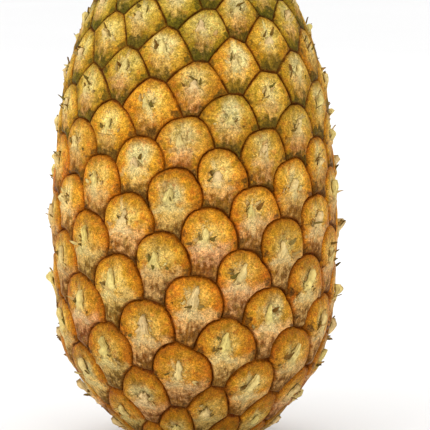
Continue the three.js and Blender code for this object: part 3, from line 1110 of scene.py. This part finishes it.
def add_dusk(look, eye, colour):
    """Painted shade along the foot, over the arch of the eye below, and, on the upper eyes, along the top,
    under the eye above.
    """
    # Painted shade along the top of the upper eyes.
    top = look.step(look.stirred(eye.ring, eye.patch_dark, 0.1), 0.76, 0.94)
    top = look.times(top, look.step(eye.v, 0.65, 0.95), eye.by_height(0.8, 0.4))
    upper_eye_top_shade = eye.by_ripeness("#8c5414", "#685c1a")
    colour = look.over(colour, upper_eye_top_shade, top, look.ramp(eye.olive, 1.0, 0.2))
    # Painted shade along the foot.
    foot = look.stirred(look.stirred(eye.v, eye.patch, 0.3), eye.own_dark, 0.25)
    foot = look.step(foot, eye.by_height(-0.72, -0.76), eye.by_height(-1.05, -1.1))
    brown = look.mix(eye.own_hue, "#74400a", "#765214")
    brown = look.over(brown, "#a06a22", look.step(eye.streak_hue, 0.4, 0.8))
    return look.over(colour, eye.by_ripeness(brown, "#7a6a12"), foot, eye.by_height(0.85, 0.7))


def add_corners(look, eye, colour):
    """Painted shade in the hollows where three eyes meet."""
    lower_left = (eye.by_height(-0.45, -0.74), eye.by_height(-1.18, -1.12), 1.0)
    lower_right = (0.33, eye.by_height(-1.24, -1.6), 1.15)
    left = (eye.by_height(-1.21, -0.95), 0.1, 1.15)
    right = (1.35, -0.3, 1.15)
    away = eye.distance(*lower_left)
    for corner_place in (lower_right, left, right):
        away = look.math("MINIMUM", away, eye.distance(*corner_place))
    away = look.stirred(look.stirred(away, eye.patch_dark, 0.3), eye.broad_dark, 0.15)
    dark = eye.by_ripeness(look.mix(eye.grain, "#542e0a", "#5c3e12"), "#524a0c")
    near_corner = look.step(away, look.ramp(eye.olive, 0.42, 0.5), look.ramp(eye.olive, 0.2, 0.28))
    return look.over(colour, dark, near_corner, look.ramp(eye.grain_hue, 0.6, 1.0))


def add_rim(look, eye, colour):
    """The brown line round the eye, broken here and there."""
    edge = look.stirred(eye.ring, eye.patch, 0.03)
    brown = eye.by_ripeness("#b8640a", "#986e14")
    foot_brown = eye.by_ripeness("#7e480e", "#5a4e12")
    brown = look.over(brown, foot_brown, look.step(eye.v, -0.5, -0.9))
    colour = look.over(colour, brown, look.step(edge, 0.86, 0.95), look.ramp(eye.patch_dark, 0.2, 0.7))
    strength = look.plus(look.ramp(eye.patch_dark, 0.1, 0.8), look.ramp(eye.broad_dark, -0.2, 0.5))
    strength = look.plus(strength, look.ramp(eye.olive, 0.0, 0.5))
    start = look.plus(look.ramp(eye.broad, 0.965, 0.93), look.ramp(eye.olive, 0.0, -0.025))
    dark_brown = eye.by_ripeness("#703202", "#563204")
    return look.over(colour, dark_brown, look.step(edge, start, 0.985), look.slope(strength, 0.0, 1.0))


def skin_colour(look, eye):
    colour = look.over(dome_colour(look, eye), fan_colour(look, eye), fan_share(look, eye))
    for add in (add_arms, add_heart, add_pit, add_dusk, add_corners, add_rim):
        colour = add(look, eye, colour)
    colour = look.lit(colour, look.times(look.ramp(eye.own_dark, 1.06, 0.85), eye.by_height(1.0, 0.93)))
    colour = look.lit(colour, look.ramp(eye.grain, 0.68, 1.32))
    colour = look.lit(colour, look.ramp(eye.fine, 0.7, 1.3))
    # Painted shade: the eyes near the base are darker.
    return look.lit(colour, look.ramp(look.step(eye.share_up, 0.42, 0.1), 1.0, 0.76))


def rind_material():
    look = Look("rind")
    eye = Eye(look)
    place = look.place()
    spots = look.noise(place, 330, 3, 0.6)
    scurf = look.noise(place, 900, 3, 0.65)
    outward = look.vector("MULTIPLY", look.vector("NORMALIZE", eye.uv), (7, 7, 7))
    further = look.combine(look.times(eye.tone, 90), 0, look.times(eye.ring, 2.2))
    fibres = look.noise(look.vector("ADD", outward, further), 1, 4, 0.7)
    colour = look.lit(skin_colour(look, eye), look.ramp(look.step(fibres, 0.3, 0.7), 0.84, 1.16))
    height = look.plus(look.times(scurf, 0.5), look.plus(spots, look.times(fibres, 0.5)))
    look.bump(height, 0.5, 0.0012)
    return look.finish(colour, look.ramp(spots, 0.42, 0.62), Specular_IOR_Level=0.06)


def bract_material():
    look = Look("bract")
    across, up, own, _ = look.attribute("blade")
    fibre_place = look.combine(look.times(across, 5), look.times(up, 4), look.times(own, 40))
    fibres = look.noises(1, fibre_place, 1, 3.0)[0]
    blotch, blotch_hue = look.noises(2, look.place(), 500)
    aside = look.size(across)
    free = look.step(look.stirred(up, blotch, 0.06), 0.52, 0.74)
    bare = look.times(free, look.ramp(look.step(own, 0.0, 0.6), 0.75, 1.0))
    heart = look.step(look.stirred(aside, fibres, 0.3), 0.4, 0.05)
    heart = look.times(heart, look.step(up, 0.25, 0.5), 0.25)
    straw = look.mix(own, "#f8e488", "#f2d094")
    colour = look.over(skin_colour(look, Eye(look)), straw, look.greater(bare, heart))
    colour = look.over(colour, "#92661a", look.step(fibres, 0.45, 0.1), free, 0.6)
    colour = look.lit(colour, look.ramp(blotch_hue, 0.75, 1.2))
    # Brown along the margin, the sides near the tip and the tip: partly dried bract, partly painted shade on
    # the edges that stand off the skin.
    margin = look.times(look.step(aside, 0.8, 1.0), look.step(up, 0.3, 0.5), look.step(blotch, 0.4, 0.7))
    sides = look.times(look.step(aside, 0.5, 0.8), look.step(up, 0.62, 0.8), 0.4)
    tip = look.times(look.step(up, 0.94, 1.0), look.step(own, 0.5, 0.7))
    dried_and_shaded_edge = look.greater(look.greater(margin, tip), sides)
    brown = look.mix(blotch_hue, "#8a5c18", "#766a22")
    colour = look.over(colour, brown, dried_and_shaded_edge, 0.75)
    look.bump(look.plus(fibres, look.times(blotch, 0.6)), 0.5, 0.001)
    return look.finish(colour, look.ramp(fibres, 0.6, 0.85), Specular_IOR_Level=0.08)


def remnant_material():
    look = Look("remnant")
    across, up, _, _ = look.attribute("blade")
    tone, other, is_strip, _ = look.attribute("mark")
    grain = look.noise(look.combine(look.times(across, 3), look.times(up, 2), look.times(other, 30)), 1.5, 3)
    brown = look.mix(other, "#7e5418", "#6c6222")
    straw = look.mix(other, "#e8d084", "#cea460")
    colour = look.over(brown, straw, look.step(look.plus(tone, look.times(is_strip, 0.3)), 0.45, 0.75))
    colour = look.over(colour, "#684816", look.step(up, 0.6, 1.0), 0.7)
    colour = look.over(colour, "#604818", look.step(grain, 0.5, 0.3), 0.6)
    look.bump(grain, 0.4, 0.0006)
    return look.finish(colour, 0.8, Specular_IOR_Level=0.2)


def leaf_material():
    look = Look("leaf")
    across, share, leaf_tone, _ = look.attribute("blade")
    under, dryness, _, _ = look.attribute("mark")
    place = look.place()
    along = look.combine(look.times(across, 14), look.times(share, 1.2), look.times(leaf_tone, 50))
    stripes = look.noise(along, 1, 4, 0.6)
    blotch = look.noise(place, 70, 3)
    scales = look.noise(place, 700, 2)
    green = look.mix(leaf_tone, "#4a6834", "#708a4c")
    green = look.over(green, "#7e8a5c", look.step(blotch, 0.35, 0.7))
    green = look.over(green, "#96a470", look.step(stripes, 0.45, 0.7), 0.6)
    green = look.over(green, "#344c26", look.step(stripes, 0.5, 0.25), 0.5)
    silver = look.mix(look.step(stripes, 0.3, 0.7), "#688052", "#a0b086")
    silver = look.over(silver, "#809654", look.step(leaf_tone, 0.3, 0.9), 0.5)
    colour = look.over(green, silver, under, 0.75)
    colour = look.over(colour, "#c4c08a", look.step(share, 0.3, 0.02))
    margin = look.step(look.size(across), 0.9, 1.0)
    colour = look.over(colour, "#845434", margin, 0.65)
    past_dry_end = look.minus(look.stirred(share, stripes, 0.03), look.ramp(dryness, 0.99, 0.9))
    brown = look.mix(blotch, "#68482c", "#aa885c")
    colour = look.over(colour, brown, look.step(past_dry_end, 0.0, 0.03))
    look.bump(look.plus(stripes, look.times(scales, 0.25)), 0.3, 0.0006)
    return look.finish(colour, look.ramp(blotch, 0.38, 0.55), Sheen_Weight=0.15)


def cut_stem_material():
    look = Look("cut_stem")
    place = look.place()
    fibres = look.noise(place, 900, 3, 0.7)
    patches = look.noise(place, 160, 3)
    colour = look.mix(look.step(fibres, 0.4, 0.65), "#8a683e", "#d6be8e")
    colour = look.over(colour, "#705838", look.step(patches, 0.45, 0.7), 0.5)
    colour = look.over(colour, "#62462a", look.step(look.length(place), 0.0105, 0.0125))
    look.bump(fibres, 0.6, 0.0008)
    return look.finish(colour, 0.85)


def floor_material():
    look = Look("floor")
    grain = look.noise(look.place(), 3, 2)
    colour = look.mix(grain, "#e6e6e6", "#e9e9e9")
    return look.finish(colour, 0.7)


def dress(piece, material, slot, *nodes):
    piece.data.materials.clear()
    piece.data.materials.append(material)
    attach(piece, "root")
    if nodes:
        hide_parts(*nodes)


# ---- The studio ----

# The camera, from the photo. It is 18 times as far away as the half width of the fruit, which is 142 px.
PIXEL = 0.42 * MM
PHOTO_PIXELS = 430
VIEW_PIXELS = 18 * 142
VIEW_DISTANCE = VIEW_PIXELS * PIXEL
VIEW_ELEVATION = math.radians(7.3)
VIEW_TARGET = (8.45 * MM, 0, 97.44 * MM)
SENSOR_WIDTH = 36
FLOOR_SIZE = 24
LIGHT_TARGET = (0, 0, 0.11)
WORLD_LIGHT = 0.61


def add_camera():
    camera = add_object("camera", bpy.data.cameras.new("camera"))
    x, y, z = VIEW_TARGET
    back = VIEW_DISTANCE * math.cos(VIEW_ELEVATION)
    camera.location = (x, y - back, z + VIEW_DISTANCE * math.sin(VIEW_ELEVATION))
    camera.rotation_euler = (math.pi / 2 - VIEW_ELEVATION, 0, 0)
    camera.data.sensor_width = SENSOR_WIDTH
    camera.data.lens = SENSOR_WIDTH * VIEW_PIXELS / PHOTO_PIXELS
    camera.data.clip_start = 0.05
    camera.data.clip_end = 100
    bpy.context.scene.camera = camera


def add_floor():
    half = FLOOR_SIZE / 2 / MM
    corners = [(-half, -half, 0), (half, -half, 0), (half, half, 0), (-half, half, 0)]
    floor = make_mesh("floor", corners, [(0, 1, 2, 3)])
    floor.data.materials.append(floor_material())


def add_light(name, power, size, place):
    data = bpy.data.lights.new(name, "AREA")
    data.shape = "DISK"
    data.size = size
    data.energy = power
    light = add_object(name, data)
    light.location = place
    light.rotation_euler = (Vector(LIGHT_TARGET) - Vector(place)).to_track_quat("-Z", "Y").to_euler()


def add_sun(name, strength, spread):
    """Even light from straight above, soft by its spread in degrees."""
    data = bpy.data.lights.new(name, "SUN")
    data.energy = strength
    data.angle = math.radians(spread)
    add_object(name, data)


def add_studio():
    add_floor()
    add_light("key", power=12.5, size=1.4, place=(-1.3, -1.3, 1.2))
    add_light("fill", power=3.0, size=0.5, place=(0.6, -1.9, 0.9))
    add_light("back", power=6, size=1.0, place=(0.2, 1.8, 1.3))
    add_sun("sky", strength=2.0, spread=80)
    world = bpy.data.worlds.new("studio")
    world.use_nodes = True
    background = world.node_tree.nodes["Background"]
    background.inputs["Color"].default_value = (1, 1, 1, 1)
    background.inputs["Strength"].default_value = WORLD_LIGHT
    bpy.context.scene.world = world
    bpy.context.scene.view_settings.view_transform = "Standard"


add_camera()
add_studio()
dress(make_skin(), rind_material(), "rind", "fruit")
dress(make_bracts(), bract_material(), "rind", "fruit")
dress(make_remnants(), remnant_material(), "rind", "fruit")
dress(make_crown(), leaf_material(), "leaf", "crown")
dress(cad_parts["stem"], cut_stem_material(), "cut_stem")
